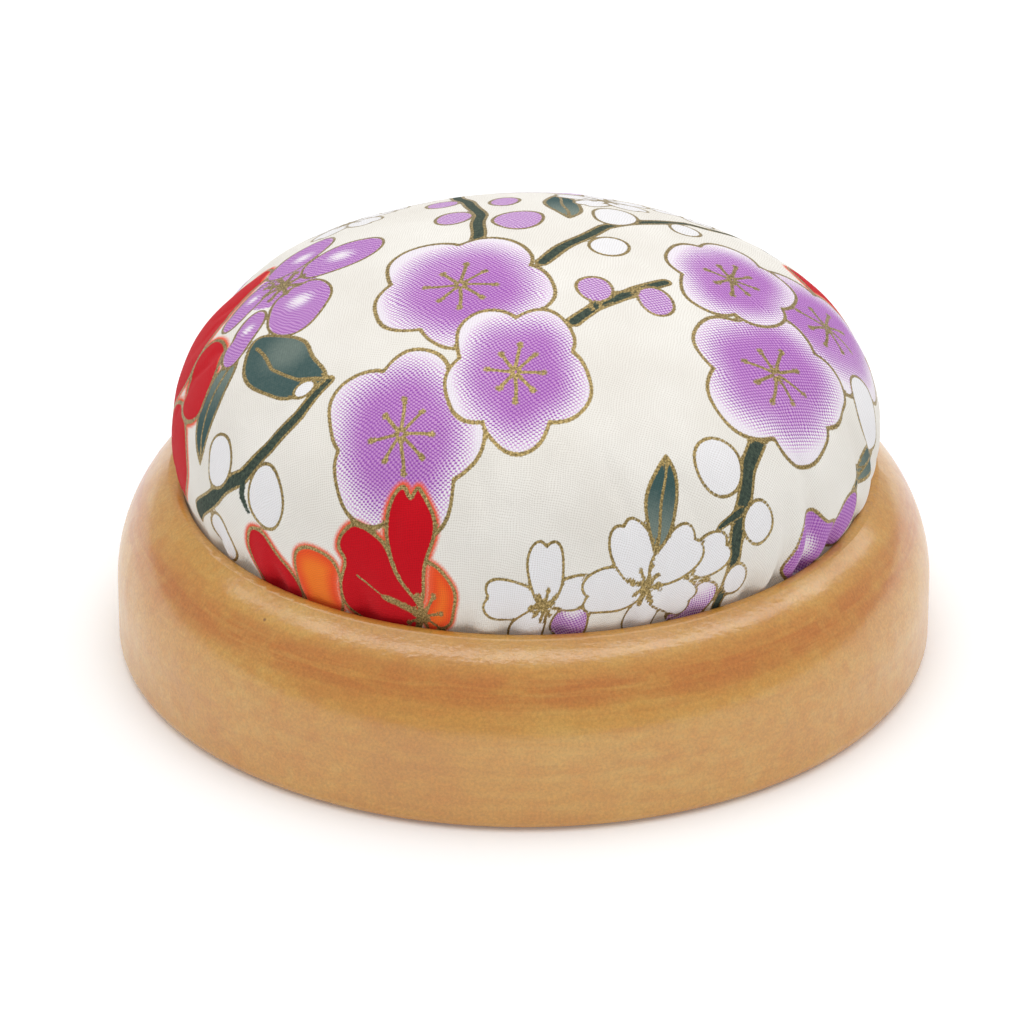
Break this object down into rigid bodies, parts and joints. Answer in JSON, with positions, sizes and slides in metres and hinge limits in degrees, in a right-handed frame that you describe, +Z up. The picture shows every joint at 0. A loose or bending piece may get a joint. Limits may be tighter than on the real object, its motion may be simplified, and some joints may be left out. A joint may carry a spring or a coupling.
{
  "type": "pin cushion",
  "caption": "Round pin cushion: a firm domed cushion of flower-printed cotton set into a turned wooden base.",
  "frame": {"origin": "centre of the flat underside of the wooden base", "axes": "+Z up through the crown of the cushion; +X to the right and -Y towards the front, which is the side with the white and red cherry blossoms at the rim"},
  "size_m": [0.09, 0.09, 0.047],
  "materials": {
    "lacquered_wood": "satin",
    "printed_cotton": "matte",
    "sewing_thread": "matte",
    "greyboard": "matte",
    "fibre_fill": "matte",
    "adhesive": "satin"
  },
  "bodies": {
    "root": {"wooden_base": "lacquered_wood", "glue_layer": "adhesive", "cushion_cover": "printed_cotton", "gathering_thread": "sewing_thread", "backing_disc": "greyboard", "stuffing": "fibre_fill"}
  },
  "joints": []
}
